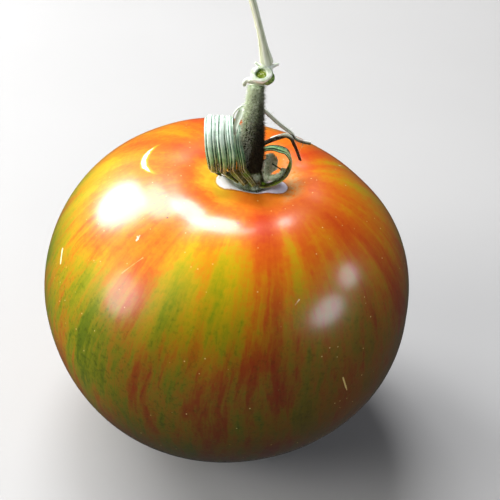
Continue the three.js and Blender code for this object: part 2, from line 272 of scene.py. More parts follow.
def fruit_skin(polar, bearing):
    """The skin's x, y and z at polar angles from the stem and bearings round it."""
    c = np.cos(polar)
    s = np.sin(polar)
    upper = c > 0
    fade = bump_curve((polar - FURROW_POLAR) / FURROW_REACH)
    furrows = 0
    for furrow_bearing, share in FURROWS:
        aside = turn_between(bearing, math.radians(furrow_bearing))
        furrows = furrows + share * bump_curve(aside / FURROW_WIDTH)
    shrink = 1 - FURROW_DEPTH * furrows * fade
    swell = SWELL_2_SHARE * np.cos(2 * (bearing - SWELL_2_BEARING))
    swell = swell + SWELL_3_SHARE * np.cos(3 * (bearing - SWELL_3_BEARING))
    fullness = np.where(upper, SHOULDER_FULLNESS, BASE_FULLNESS)
    reach = FRUIT_RADIUS * s**fullness * (1 + swell) * shrink
    tilt = 1 + TILT_SHARE * np.cos(bearing - TILT_BEARING) * s
    cork = CORK_HEIGHT * (1 + CORK_HIGH_SHARE * np.cos(bearing - CORK_HIGH_BEARING))
    cavity = cork * bump_curve((reach - CORK_RADIUS) / CORK_WIDTH)
    cavity = cavity - CAVITY_DEPTH * bump_curve(reach / CAVITY_RADIUS)
    step = np.clip((cork_reach(bearing) - reach) / CORK_STEP_WIDTH, 0, 1)
    cavity = cavity + CORK_STEP * step * step * (3 - 2 * step) * np.clip(reach / CORK_RADIUS - 0.4, 0, 1)
    top = EQUATOR_HEIGHT + SHOULDER_RISE * tilt * shrink * c + cavity
    base = np.maximum(0, EQUATOR_HEIGHT + BASE_DROP * c)
    lean = np.where(upper, np.abs(c) ** 1.5, 0)
    x = reach * np.cos(bearing) + STEM_AXIS.x * lean
    y = reach * np.sin(bearing) + STEM_AXIS.y * lean
    return np.stack([x, y, np.where(upper, top, base)], axis=-1)


def cork_reach(bearing):
    """How far the cork reaches from the stem: a lobe front left, one front right, a dip between."""
    reach = CORK_LEAST_REACH
    for extra, middle, half_width in CORK_LOBES:
        aside = turn_between(bearing, math.radians(middle))
        reach = reach + extra * bump_curve(aside / math.radians(half_width))
    return reach


def skin_mesh(name, rings):
    """A closed, smooth mesh over rings of equal count, each end closed by a fan to its middle."""
    rows, count, _ = rings.shape
    points = np.concatenate([rings.reshape(-1, 3), rings[:1].mean(axis=1), rings[-1:].mean(axis=1)])
    i, j = np.meshgrid(np.arange(rows - 1), np.arange(count), indexing="ij")
    k = (j + 1) % count
    quads = np.stack([i * count + j, i * count + k, (i + 1) * count + k, (i + 1) * count + j], axis=-1)
    first, last = rows * count, rows * count + 1
    ends = [(first, (n + 1) % count, n) for n in range(count)]
    ends += [(last, (rows - 1) * count + n, (rows - 1) * count + (n + 1) % count) for n in range(count)]
    mesh = bpy.data.meshes.new(name)
    mesh.from_pydata(points.tolist(), [], quads.reshape(-1, 4).tolist() + ends)
    shape = bmesh.new()
    shape.from_mesh(mesh)
    bmesh.ops.recalc_face_normals(shape, faces=shape.faces)
    shape.to_mesh(mesh)
    shape.free()
    mesh.shade_smooth()
    return mesh


flat_edge = math.acos(-EQUATOR_HEIGHT / BASE_DROP)
fruit_polar = flat_edge * (np.arange(1, FRUIT_RINGS + 1) / FRUIT_RINGS) ** RING_CROWDING
fruit_bearing = 2 * math.pi * np.arange(FRUIT_SIDES) / FRUIT_SIDES
polar_grid, bearing_grid = np.meshgrid(fruit_polar, fruit_bearing, indexing="ij")
fruit = add_piece("fruit_skin", skin_mesh("fruit_skin", fruit_skin(polar_grid, bearing_grid)))


# Colour of the fruit.
# It ripens from green through gold and orange to red in streaks from the stem to the blossom end.
# Each patch is a stretch of skin that is riper, or greener where its last number is below 0: polar
# angle and bearing of its middle, then its half height and half width, in degrees.
PATCHES = [
    (58, 268, 20, 8, -0.24),
    (34, 262, 11, 7, -0.34),
    (44, 262, 8, 4, -0.2),
    (48, 257, 9, 2, 0.14),
    (42, 244, 14, 7, -0.34),
    (56, 249, 14, 8, -0.3),
    (61, 214, 14, 10, -0.24),
    (71, 223, 12, 6, -0.36),
    (80, 230, 12, 6, -0.36),
    (84, 218, 14, 5, -0.2),
    (74, 180, 20, 6, -0.24),
    (40, 222, 12, 9, 0.12),
    (67, 242, 12, 4, 0.16),
    (20, 280, 9, 10, 0.3),
    (33, 284, 12, 7, 0.16),
    (62, 278, 12, 6, 0.16),
    (52, 232, 8, 10, 0.16),
    (46, 206, 9, 9, 0.3),
    (27, 292, 8, 2.5, -0.26),
    (42, 293, 12, 3, -0.32),
    (33, 301, 10, 4, 0.16),
    (31, 325, 12, 5, 0.3),
    (25, 337, 8, 6, -0.1),
    (60, 333, 20, 4, 0.36),
    (70, 337, 16, 4, 0.3),
    (74, 316, 12, 3, -0.2),
    (60, 313, 8, 4, -0.16),
    (73, 266, 9, 6, 0.5),
    (73, 278, 11, 5, 0.24),
    (86, 263, 6, 3, 0.5),
    (85, 244, 10, 5, 0.28),
    (98, 260, 9, 7, 0.34),
    (92, 272, 9, 3, 0.34),
    (95, 285, 8, 5, -0.34),
    (66, 297, 8, 3, -0.2),
    (77, 296, 12, 2.5, -0.28),
    (80, 304, 8, 3, 0.12),
    (80, 288, 12, 3, 0.28),
    (87, 309, 14, 3, 0.32),
    (93, 315, 14, 3, -0.24),
    (78, 216, 12, 4, 0.14),
]
BACK_PATCHES = 46
PATCH_STRENGTH = 0.52
draw = random.Random(7)
for _ in range(BACK_PATCHES):
    middle = draw.uniform(22, 110), draw.uniform(-15, 170)
    half_size = draw.uniform(9, 18), draw.uniform(2.5, 7)
    PATCHES.append((*middle, *half_size, draw.uniform(-0.36, 0.38)))

RIPE_AT_BASE, RIPER_AT_TOP, TOP_REACH = 0.47, 0.24, math.radians(38)
ripeness = RIPE_AT_BASE + RIPER_AT_TOP * bump_curve(polar_grid / TOP_REACH)
for polar, bearing, half_height, half_width, amount in PATCHES:
    down = (polar_grid - math.radians(polar)) / math.radians(half_height)
    aside = turn_between(bearing_grid, math.radians(bearing)) / math.radians(half_width)
    ripeness = ripeness + PATCH_STRENGTH * amount * bump_curve(down) * bump_curve(aside)


def lay_on_skin(name, kind, values, at_stem, at_base):
    """Stores a number or a direction for each point of the fruit, and for its two end middles."""
    attribute = fruit.data.attributes.new(name, kind, "POINT")
    flat = np.concatenate([values.reshape(FRUIT_RINGS * FRUIT_SIDES, -1), [at_stem], [at_base]])
    field = "vector" if kind == "FLOAT_VECTOR" else "value"
    attribute.data.foreach_set(field, flat.ravel().astype(np.float32))


growth = np.stack([np.cos(bearing_grid), np.sin(bearing_grid), polar_grid / math.pi], axis=-1)
cork_inside = cork_reach(bearing_grid) - FRUIT_RADIUS * np.sin(polar_grid) ** SHOULDER_FULLNESS
lay_on_skin("growth", "FLOAT_VECTOR", growth, (0, 0, 0), (0, 0, 1))
lay_on_skin("cork_inside", "FLOAT", cork_inside, (0.008,), (-1,))
lay_on_skin("ripeness", "FLOAT", ripeness, (0.6,), (0.5,))

skin = Finish("tomato_skin", Coat_Roughness=0.2, Specular_IOR_Level=0.22)
grown = skin.attribute("growth", "Vector")
place = skin.place()
line = grown
for scale, swing in ((3.0, 0.08), (14.0, 0.05)):
    waver = skin.node("ShaderNodeTexNoise", {"Vector": grown, "Scale": scale}, output="Color")
    waver = skin.stretch(waver, (swing, swing, 0), (-swing / 2, -swing / 2, 0))
    line = skin.node("ShaderNodeVectorMath", [line, waver], operation="ADD")
broad = skin.noise(skin.stretch(line, (6, 6, 2.6)), 1.0, 2.0)
streak = skin.noise(skin.stretch(line, (15, 15, 6.5), (3.1, 0.4, 2.0)), 1.0, 3.0, 0.6)
stroke = skin.noise(skin.stretch(line, (40, 40, 20), (0.3, 7.7, 5.0)), 1.0, 4.0, 0.65)
mottle = skin.noise(place, 700.0, 4.0, 0.6)
grain = skin.noise(place, 1500.0, 3.0)
cloud = skin.noise(place, 120.0, 3.0)
depth = skin.part(grown, "Z")
lower = (depth + (broad - 0.5) * 0.16).between(0.18, 0.44)
plan = skin.stretch(place, (1, 1, 0))
across = skin.part(place, "X")
back = skin.part(place, "Y")
# Painted shade: the skin is painted darker towards the bottom, all round but the far left.
painted_low_shade = depth.between(0.12, 0.68) * across.between(-0.041, -0.018)
contrast = depth.between(0.06, 0.24) * 0.3 + lower * 0.75 + 0.12
marbling = (broad - 0.5) * 0.5 + (streak - 0.5) * 0.62 + (stroke - 0.5) * 0.38
ripe = skin.attribute("ripeness") + marbling * contrast + (mottle - 0.5) * 0.24 + (cloud - 0.5) * 0.2
UPPER_SKIN = [
    (0.26, 166, 172, 8),
    (0.42, 218, 176, 8),
    (0.54, 238, 142, 10),
    (0.66, 238, 108, 14),
    (0.84, 224, 72, 12),
]
LOWER_SKIN = [
    (0.20, 88, 106, 2),
    (0.36, 124, 128, 2),
    (0.50, 160, 116, 2),
    (0.64, 162, 78, 2),
    (0.82, 160, 38, 2),
]
skin_colour = skin.mix(lower, skin.ramp(ripe, UPPER_SKIN), skin.ramp(ripe, LOWER_SKIN))
# Painted shade low on the fruit, towards near black.
skin_colour = skin.mix(painted_low_shade * 0.72, skin_colour, srgb(30, 14, 0))
skin_colour = skin.mix((mottle + grain).between(1.0, 0.72) * 0.3 * lower, skin_colour, srgb(24, 22, 0))

# Round the stem the skin is yellow on the left, tan and russet on the right, and the cork in the
# cavity is cream-white to the left and greyish lilac to the right, partly the cork's own pale colour
# and partly painted highlight.
# Painted shade: the right half of the skin is painted darker, towards a dark red-brown, more so further
# right.
skin_colour = skin.mix(across.between(0.0, 0.038) * 0.42, skin_colour, srgb(110, 40, 0))
stem_away = skin.distance(plan, tuple(STEM_AXIS)) + (cloud - 0.5) * 0.006 + (mottle - 0.5) * 0.003
yellow = stem_away.between(0.0145, 0.0085) * across.between(0.007, -0.001)
gold_front = stem_away.between(0.016, 0.009) * 0.35
skin_colour = skin.mix(gold_front, skin_colour, srgb(240, 150, 8))
skin_colour = skin.mix(yellow * 0.9, skin_colour, srgb(250, 206, 44))
russet = stem_away.between(0.0145, 0.010) * across.between(0.014, 0.018) * mottle.between(0.36, 0.56)
skin_colour = skin.mix(russet * 0.85, skin_colour, srgb(206, 158, 98))
inside = skin.attribute("cork_inside") + (cloud - 0.5) * 0.0012 + (mottle - 0.5) * 0.0006
cork = inside.between(-0.0001, 0.0003) * back.between(0.002, -0.001)
# Painted shadow: a thin dark brown band just outside the front edge of the cork.
cork_edge_painted_shadow = inside.between(-0.0005, 0) * back.between(0.002, -0.001)
# The cork's own pale colour with painted highlight: near white to the left, lilac to the right.
cork_and_highlight_colour = skin.mix(across.between(0.007, 0.011), srgb(255, 255, 250), srgb(232, 226, 240))
cork_and_highlight_colour = skin.mix(mottle.between(0.46, 0.3) * 0.35, cork_and_highlight_colour, srgb(150, 140, 100))
skin_colour = skin.mix(cork_edge_painted_shadow * 0.5, skin_colour, srgb(120, 66, 4))
skin_colour = skin.mix(cork, skin_colour, cork_and_highlight_colour)


# Small marks: each stroke is healed skin from one point to another, in millimetres.
def stroke_mask(start, end, half_width):
    run = Vector(end) * MM - Vector(start) * MM
    away = skin.node("ShaderNodeVectorMath", [place, tuple(Vector(start) * MM)], operation="SUBTRACT")
    per_run = tuple(run / run.length_squared)
    share = skin.node("ShaderNodeVectorMath", [away, per_run], output="Value", operation="DOT_PRODUCT")
    share = skin.node("ShaderNodeClamp", [share])
    nearest = skin.node("ShaderNodeVectorMath", {0: tuple(run), "Scale": share}, operation="SCALE")
    gap = skin.distance(away, nearest)
    return (gap + (mottle - 0.5) * half_width * MM).between(half_width * MM, 0.4 * half_width * MM)


STROKES = [
    ((-37.5, -11.2, 57.2), (-37.3, -8.2, 59.0), 0.46, (244, 236, 190)),
    ((-16.0, -24.2, 69.9), (-20.8, -25.4, 66.5), 0.2, (232, 176, 100)),
    ((-17.6, -20.0, 71.6), (-16.9, -19.2, 72.1), 0.36, (250, 216, 180)),
    ((-17.5, -19.2, 71.9), (-17.2, -19.9, 71.7), 0.3, (250, 216, 180)),
    ((18.5, -33.0, 65.4), (17.6, -33.9, 64.7), 0.28, (250, 222, 180)),
    ((29.0, -37.4, 45.3), (29.6, -37.2, 43.0), 0.30, (214, 186, 110)),
    ((29.6, -37.2, 43.0), (30.2, -36.8, 40.6), 0.26, (214, 186, 110)),
    ((29.5, 9.3, 71.1), (30.0, 9.6, 70.8), 0.35, (244, 232, 190)),
    ((5.1, -18.9, 75.6), (5.2, -18.9, 75.6), 0.40, (70, 40, 10)),
    ((-10.8, -16.5, 75.2), (-10.7, -16.5, 75.2), 0.30, (90, 50, 10)),
]
for start, end, half_width, colour in STROKES:
    skin_colour = skin.mix(stroke_mask(start, end, half_width), skin_colour, srgb(*colour))

# The crescent on the left shoulder, partly pale scarring with relief and partly a painted highlight
# with a painted yellow fringe, lies inside one circle and outside another.
CRESCENT_OUTER, CRESCENT_INNER = Vector((-11.9, 4.56, 0)) * MM, Vector((-7.5, 4.56, 0)) * MM
CRESCENT_OUTER_RADIUS, CRESCENT_INNER_RADIUS = 6.45 * MM, 9.45 * MM
CRESCENT_EDGE = 0.25 * MM
outer_away = skin.distance(plan, tuple(CRESCENT_OUTER)) + (mottle - 0.5) * 0.0008 - CRESCENT_OUTER_RADIUS
inner_away = skin.distance(plan, tuple(CRESCENT_INNER)) + (mottle - 0.5) * 0.0008 - CRESCENT_INNER_RADIUS
crescent_scar_and_highlight = outer_away.between(0, -CRESCENT_EDGE) * inner_away.between(0, CRESCENT_EDGE)
crescent_highlight_halo = outer_away.between(2 * CRESCENT_EDGE, -CRESCENT_EDGE) * inner_away.between(-3 * CRESCENT_EDGE, CRESCENT_EDGE)
# A painted yellow fringe round the crescent, then the crescent painted near white.
skin_colour = skin.mix(crescent_highlight_halo * 0.8, skin_colour, srgb(240, 200, 40))
skin_colour = skin.mix(crescent_scar_and_highlight, skin_colour, srgb(255, 252, 236))

# Pale specks, denser on the right shoulder and low on the left.
specks = skin.node("ShaderNodeTexVoronoi", {"Vector": place, "Scale": 620.0}, output="Distance")
chosen = skin.part(specks.other("Color"), "X")
dusty = stem_away.between(0.022, 0.014) * across.between(0.012, 0.017) * 0.4
speck = specks.between(0.14, 0.06) * (chosen + (cloud - 0.5) * 1.4 + dusty).between(0.8, 0.84)
skin_colour = skin.mix(speck * 0.6, skin_colour, srgb(250, 222, 140))

russeted = stem_away.between(0.0165, 0.0125)
skin.feed(skin.shader.inputs["Coat Weight"], 1 - russeted)
skin.paint(
    skin_colour,
    roughness=0.36 + (mottle - 0.5) * 0.16 + russeted * 0.3,
    height=grain + mottle * 0.6 + crescent_scar_and_highlight * 2.0,
    bump_distance=0.00005,
    bump_strength=0.5,
)
skin.cover(fruit)
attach(fruit, "root")
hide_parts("fruit")

# Pedicel.
# The green stem of the fruit, with the receptacle at its foot. Low ribs run up it and short stiff
# hairs cover it; it grows out of the floor of the stem cavity.
def smooth_line(points, count):
    """Evenly spaced points of a smooth curve through the given points, and its direction there."""
    given = np.array(points, float)
    given = np.vstack([2 * given[0] - given[1], given, 2 * given[-1] - given[-2]])
    share = np.linspace(0, 1, 40, endpoint=False)[:, None]
    pieces = []
    for a, b, c, d in zip(given, given[1:], given[2:], given[3:]):
        before, here, after = (math.sqrt(np.linalg.norm(step)) for step in (b - a, c - b, d - c))
        leave = ((b - a) / before - (c - a) / (before + here) + (c - b) / here) * here
        reach = ((c - b) / here - (d - b) / (here + after) + (d - c) / after) * here
        square = 3 * (c - b) - 2 * leave - reach
        cube = 2 * (b - c) + leave + reach
        pieces.append(b + leave * share + square * share**2 + cube * share**3)
    fine = np.vstack([*pieces, given[-2]])
    run = np.concatenate([[0], np.cumsum(np.linalg.norm(np.diff(fine, axis=0), axis=1))])
    stops = np.linspace(0, run[-1], count)
    line = np.stack([np.interp(stops, run, fine[:, axis]) for axis in range(3)], axis=1)
    return line, unit(np.gradient(line, axis=0))


def unit(vectors):
    return vectors / (np.linalg.norm(vectors, axis=-1, keepdims=True) + 1e-12)


def ease(share):
    share = np.clip(share, 0, 1)
    return share * share * (3 - 2 * share)


def lerp(low, high, share):
    return low + (high - low) * share


def tube(points, radius_at, rows, around):
    """Rings round a smooth line. radius_at takes the share of the length and the angle round it."""
    line, heading = smooth_line(points, rows)
    over = unit(np.cross(heading, (1, 0, 0)))
    aside = np.cross(over, heading)
    angle = 2 * math.pi * np.arange(around) / around
    share = np.linspace(0, 1, rows)
    radius = radius_at(share[:, None], angle[None, :])
    spokes = aside[:, None] * np.cos(angle)[None, :, None] + over[:, None] * np.sin(angle)[None, :, None]
    return line[:, None] + spokes * radius[..., None]


HAIR_SIDES = 3
HAIR_SPREAD, HAIR_BEND = 0.35, 0.16


def hairs_on(rings, count, length, thickness, seed):
    """The points and the faces of fine, bent, tapered hairs on a solid skinned over rings."""
    rows, around, _ = rings.shape
    chance = np.random.default_rng(seed)
    spot = chance.uniform(0.5, rows - 1.5, count)
    low = spot.astype(int)
    j = chance.integers(0, around, count)
    here, above, beside = rings[low, j], rings[low + 1, j], rings[low, (j + 1) % around]
    root = here + (above - here) * (spot - low)[:, None] + (beside - here) * chance.uniform(0, 1, (count, 1))
    out = unit(np.cross(beside - here, above - here))
    out *= np.sign(np.sum(out * (here - rings.mean(axis=1)[low]), axis=1))[:, None]
    lean = unit(out + chance.normal(0, HAIR_SPREAD, (count, 3)))
    reach = length * chance.uniform(0.45, 1.25, (count, 1))
    aside = unit(np.cross(lean, chance.normal(0, 1, (count, 3)))) * thickness
    over = np.cross(lean, aside)
    angles = [2 * math.pi * side / HAIR_SIDES for side in range(HAIR_SIDES)]
    spokes = [aside * math.cos(angle) + over * math.sin(angle) for angle in angles]
    elbow = root + lean * reach * 0.5
    tip = root + lean * reach + chance.normal(0, HAIR_BEND, (count, 3)) * reach
    foot = root - out * thickness
    points = np.stack([*(foot + s for s in spokes), *(elbow + 0.7 * s for s in spokes), tip], axis=1)
    corners = [list(range(HAIR_SIDES))[::-1]]
    for side in range(HAIR_SIDES):
        after = (side + 1) % HAIR_SIDES
        corners.append([side, after, HAIR_SIDES + after, HAIR_SIDES + side])
        corners.append([HAIR_SIDES + side, HAIR_SIDES + after, 2 * HAIR_SIDES])
    base = (np.arange(count) * (2 * HAIR_SIDES + 1))[:, None]
    faces = [row for face in corners for row in (base + np.array(face)).tolist()]
    return points, faces


def add_grown(name, parts, hairs=()):
    """One piece made of closed solids. parts holds (rings, relief of each point from 0 to 1), and
    hairs holds (number of the part, count, length, thickness). Each point of the mesh keeps `lie`:
    its share of the length, its relief, and how far out it is on a hair."""
    points, faces, lie = [], [], []
    for rings, relief in parts:
        rows, around, _ = rings.shape
        shape = skin_mesh("part", rings)
        faces += [[len(points) + v for v in polygon.vertices] for polygon in shape.polygons]
        points += [vertex.co[:] for vertex in shape.vertices]
        bpy.data.meshes.remove(shape)
        share = np.append(np.repeat(np.linspace(0, 1, rows), around), [0, 1])
        height = np.append(np.broadcast_to(relief, (rows, around)), [0.5, 0.5])
        lie.append(np.stack([share, height, np.zeros(len(share))], axis=1))
    for seed, (index, count, length, thickness) in enumerate(hairs):
        tufts, tuft_faces = hairs_on(parts[index][0], count, length, thickness, seed + 11)
        faces += [[len(points) + v for v in face] for face in tuft_faces]
        points += tufts.reshape(-1, 3).tolist()
        out = np.tile([0.3] * HAIR_SIDES + [0.6] * HAIR_SIDES + [1.0], count)
        lie.append(np.stack([np.full(len(out), 0.5), np.full(len(out), 0.5), out], axis=1))
    mesh = bpy.data.meshes.new(name)
    mesh.from_pydata(points, [], faces)
    attribute = mesh.attributes.new("lie", "FLOAT_VECTOR", "POINT")
    attribute.data.foreach_set("vector", np.concatenate(lie).ravel().astype(np.float32))
    mesh.shade_smooth()
    mesh.set_sharp_from_angle(angle=math.radians(60))
    return add_piece(name, mesh)


SEAT_GAP = 0.3 * MM
SEAT_REACHES = [0.6 * MM, 1.6 * MM, 2.5 * MM, 3.05 * MM]
PEDICEL_LINE = [(8.3, -0.8, 73.5), (8.3, -0.8, 80), (8.35, -0.8, 87), (8.75, -0.8, 94), (9.3, -0.8, 100)]
PEDICEL_FOOT, PEDICEL_NECK, PEDICEL_FLARE = 2.45 * MM, 1.5 * MM, 0.6 * MM
COLLAR_HEIGHT, COLLAR_SHARE = 0.75 * MM, 0.118
RECEPTACLE_EXTRA = 0.25 * MM
PEDICEL_RIBS = 5
PEDICEL_ROWS, PEDICEL_AROUND = 150, 72
PEDICEL_HAIRS = [(0, 7000, 0.6 * MM, 0.05 * MM), (0, 3000, 1.05 * MM, 0.05 * MM)]


def pedicel_relief(share, angle):
    coarse = 0.5 + 0.5 * np.cos(PEDICEL_RIBS * angle + 1.2 * np.sin(4 * share))
    fine = np.sin(13 * angle + 9 * share) * np.sin(61 * share + 3 * np.sin(3 * angle))
    return np.clip(0.6 * coarse + 0.2 + 0.2 * fine, 0, 1)


def pedicel_radius(share, angle):
    taper = lerp(PEDICEL_FOOT, PEDICEL_NECK, ease((share - 0.43) / 0.54))
    flare = PEDICEL_FLARE * bump_curve(share / 0.11)
    flare = flare + RECEPTACLE_EXTRA * (1 - ease((share - 0.03) / 0.02))
    lobes = 0.75 + 0.25 * np.cos(6 * angle + 0.7) + 0.12 * np.cos(17 * angle)
    collar = COLLAR_HEIGHT * lobes * bump_curve((share - COLLAR_SHARE) / 0.02)
    return (taper + flare) * (0.94 + 0.11 * pedicel_relief(share, angle)) + collar


stem = tube(np.array(PEDICEL_LINE) * MM, pedicel_radius, PEDICEL_ROWS, PEDICEL_AROUND)
angles_round = 2 * math.pi * np.arange(PEDICEL_AROUND) / PEDICEL_AROUND
seat_rings = []
for reach in SEAT_REACHES:
    polar = math.asin((reach / FRUIT_RADIUS) ** (1 / SHOULDER_FULLNESS))
    ring = fruit_skin(polar, angles_round)
    ring[:, 2] += SEAT_GAP
    seat_rings.append(ring)


def facing(rings, ring):
    """The rings turned, and run the other way if need be, so that their points face those of ring."""
    first = np.argmin(np.linalg.norm(rings[-1] - ring[0], axis=1))
    turned = np.roll(rings, -first, axis=1)
    other_way = np.roll(turned[:, ::-1], 1, axis=1)
    return min(turned, other_way, key=lambda way: np.linalg.norm(way[-1] - ring))


pedicel_rings = np.concatenate([facing(np.array(seat_rings), stem[0]), stem])
share_grid, angle_grid = np.meshgrid(np.linspace(0, 1, len(pedicel_rings)), angles_round, indexing="ij")
pedicel = add_grown("pedicel", [(pedicel_rings, pedicel_relief(share_grid, angle_grid))], PEDICEL_HAIRS)
stem_green = Finish("stem_green", Roughness=0.8, Specular_IOR_Level=0.3)
place = stem_green.place()
lie = stem_green.attribute("lie", "Vector")
relief = stem_green.part(lie, "Y")
hair = stem_green.part(lie, "Z")
blotch = stem_green.noise(place, 700.0, 3.0)
speckle = stem_green.noise(place, 2200.0, 4.0, 0.75)
height = stem_green.part(place, "Z")
# Painted shade: the stem is painted dark on its right, and its hairs there brown. It is pale at its
# top and its collar.
shade_line = height * 0.145 - 0.00466
shade = (stem_green.part(place, "X") - shade_line + (blotch - 0.5) * 0.001).between(-0.0012, 0.0012)
top_end = height.between(0.085, 0.1)
collar = height.between(0.0785, 0.0772)
tone = relief * 0.35 + blotch * 0.5 + (speckle - 0.5) * 1.3
tone = tone + top_end * 0.46 + collar * 0.4 - shade * (1 - collar) * 0.23 - 0.11
STEM_GREENS = [
    (0.16, 16, 14, 6),
    (0.34, 52, 60, 32),
    (0.5, 104, 118, 76),
    (0.66, 166, 180, 140),
    (0.82, 212, 222, 194),
]
# Painted shade on the hairs: pale, and dark brown on the stem's right.
hair_colour = stem_green.mix(shade * (1 - top_end * 0.4), srgb(226, 234, 208), srgb(70, 62, 40))
stem_green.paint(
    stem_green.mix(hair.between(0.1, 0.9), stem_green.ramp(tone, STEM_GREENS), hair_colour),
    height=blotch + speckle * 0.5,
    bump_distance=0.00012,
    bump_strength=0.7,
)
stem_green.cover(pedicel)
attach(pedicel, "root")
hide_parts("pedicel")

# Coiled sepals.
# Four long green leaves of the calyx, dried and curled up and over side by side like rolled
# ribbons. Each is a thin ribbed blade that grows from the rim of the receptacle.
SEPAL_ROOT_RADIUS, SEPAL_ROOT_HEIGHT = 4.05, 75.45
BLADE_FACE, BLADE_BACK, BLADE_ROWS = 27, 13, 150
BLADE_THICKNESS, BACK_EDGE = 0.36, 0.93
TAPER_FROM, FOOT_UNTIL, TURNED_BY = 0.62, 0.14, 0.35


def sepal_root(bearing):
    bearing = math.radians(bearing)
    x = STEM_AXIS.x / MM + SEPAL_ROOT_RADIUS * math.cos(bearing)
    return (x, STEM_AXIS.y / MM + SEPAL_ROOT_RADIUS * math.sin(bearing), SEPAL_ROOT_HEIGHT)


def blade(root, midrib, across, width, arch, tip, ribs, seed, rib_height=0.09, lean=0, foot=0.55):
    """The rings and the relief of a sepal's blade, in metres, from its root along its midrib.
    tip and foot are its widths there as shares of width, and lean tilts it round its midrib."""
    line, heading = smooth_line([sepal_root(root), *midrib], BLADE_ROWS)
    chance = np.random.default_rng(seed)
    share = np.linspace(0, 1, BLADE_ROWS)
    root_across = np.array([-math.sin(math.radians(root)), math.cos(math.radians(root)), 0])
    if root_across @ np.array(across) < 0:
        root_across = -root_across
    flat = lerp(root_across, np.array(across, float), ease(share / TURNED_BY)[:, None])
    flat = unit(flat - heading * np.sum(flat * heading, axis=1, keepdims=True))
    upright = np.cross(flat, heading)
    side = flat * math.cos(lean) + upright * math.sin(lean)
    outward = upright * math.cos(lean) - flat * math.sin(lean)
    phase = chance.uniform(0, 6.28, 6)
    wander = 0.13 * np.sin(9 * share) + 0.06 * np.sin(23 * share + 1)
    wide = 1 + 0.03 * np.sin(14 * share + phase[2]) + 0.02 * np.sin(37 * share + phase[3])
    wide = wide * lerp(1, tip, ease((share - TAPER_FROM) / (1 - TAPER_FROM)))
    half = width / 2 * wide * lerp(foot, 1, ease(share / FOOT_UNTIL))
    x_face = np.linspace(-1, 1, BLADE_FACE)
    x_back = np.linspace(BACK_EDGE, -BACK_EDGE, BLADE_BACK)
    drift = 0.06 * np.sin(11 * share + phase[4])[:, None]
    warp = x_face + 0.2 * np.sin(2.6 * x_face + phase[0]) + drift
    waves = 0.62 * np.cos(math.pi * ribs * warp) + 0.38 * np.cos(math.pi * 1.7 * ribs * warp + phase[5])
    relief_face = 0.5 + 0.5 * waves
    fade = np.clip((1 - np.abs(x_face)) * 6, 0, 1)
    rise_face = arch * (1 - x_face**2) + rib_height * (waves - 1) * fade
    rise_back = np.broadcast_to(arch * (1 - x_back**2) - BLADE_THICKNESS, (BLADE_ROWS, BLADE_BACK))
    rise = np.concatenate([rise_face, rise_back], axis=1)
    x = np.concatenate([x_face, x_back])
    aside = x[None, :] * half[:, None] + wander[:, None]
    rings = line[:, None] + side[:, None] * aside[..., None] + outward[:, None] * rise[..., None]
    relief_back = np.full((BLADE_ROWS, BLADE_BACK), 0.25)
    relief = np.concatenate([relief_face * fade + 0.5 * (1 - fade), relief_back], axis=1)
    return rings * MM, relief


# Each coil's root bearing, its place from left to right and its slant there, the y and z of its
# hub, its radius, the angles that it starts and ends at, and its width.
COILS = [
    (193, -1.5, 0.8, (2.1, 82.8), 6.6, (20, 322), 2.36),
    (218, 0.6, 1.0, (2.0, 82.7), 6.7, (40, 316), 2.42),
    (245, 2.7, 1.3, (2.0, 82.6), 6.6, (54, 310), 2.4),
    (276, 4.6, 2.2, (2.0, 81.0), 6.0, (66, 285), 2.2),
]
COIL_TIGHTENING = 0.12
COIL_STEP = 28
COIL_DRIFT, COIL_DRIFT_FROM = 1.0, 205
COIL_FORM = {"arch": 0.5, "tip": 0.5, "foot": 0.7, "lean": 0.2, "ribs": 3, "rib_height": 0.16}
COIL_HAIRS = [(0, 1600, 0.26 * MM, 0.02 * MM)]

sepal_green = Finish("sepal_green", Roughness=0.75, Specular_IOR_Level=0.35)
lie = sepal_green.attribute("lie", "Vector")
relief = sepal_green.part(lie, "Y")
hair = sepal_green.part(lie, "Z")
place = sepal_green.place()
height = sepal_green.part(place, "Z")
blotch = sepal_green.noise(place, 500.0, 3.0)
fibre = sepal_green.noise(sepal_green.stretch(place, (1, 0.25, 0.25)), 4000.0, 2.0)
# Painted highlight: high on the coils the blades are painted pale, up to near white.
top = (height + (blotch - 0.5) * 0.004).between(0.082, 0.0902)
foot = (height + (blotch - 0.5) * 0.004).between(0.0832, 0.0785)
tone = (relief - 0.5) * 0.8 + (fibre - 0.5) * 0.5 + (blotch - 0.5) * 0.3 + 0.52
MID_GREENS = [
    (0.22, 10, 40, 22),
    (0.44, 56, 118, 70),
    (0.62, 124, 188, 116),
    (0.85, 200, 234, 178),
]
TOP_GREENS = [
    (0.14, 70, 104, 84),
    (0.36, 166, 196, 174),
    (0.56, 222, 236, 224),
    (0.85, 250, 252, 248),
]
FOOT_BROWNS = [
    (0.24, 26, 22, 2),
    (0.46, 84, 80, 14),
    (0.66, 142, 134, 48),
    (0.85, 216, 208, 150),
]
brown_foot = sepal_green.ramp(tone, FOOT_BROWNS)
ring_side = sepal_green.part(place, "X").between(0.0150, 0.0165) * height.between(0.0845, 0.0815) * 0.75
blade_colour = sepal_green.mix(top, sepal_green.ramp(tone, MID_GREENS), sepal_green.ramp(tone, TOP_GREENS))
blade_colour = sepal_green.mix(foot, blade_colour, brown_foot)
blade_colour = sepal_green.mix(ring_side, blade_colour, brown_foot)
fresh = foot * blotch.between(0.52, 0.62)
blade_colour = sepal_green.mix(fresh * 0.7, blade_colour, srgb(104, 140, 24))
blade_colour = sepal_green.mix(hair.between(0.1, 0.7), blade_colour, srgb(222, 230, 214))
sepal_green.paint(blade_colour, height=fibre * 0.6 + blotch, bump_distance=0.0001, bump_strength=0.6)

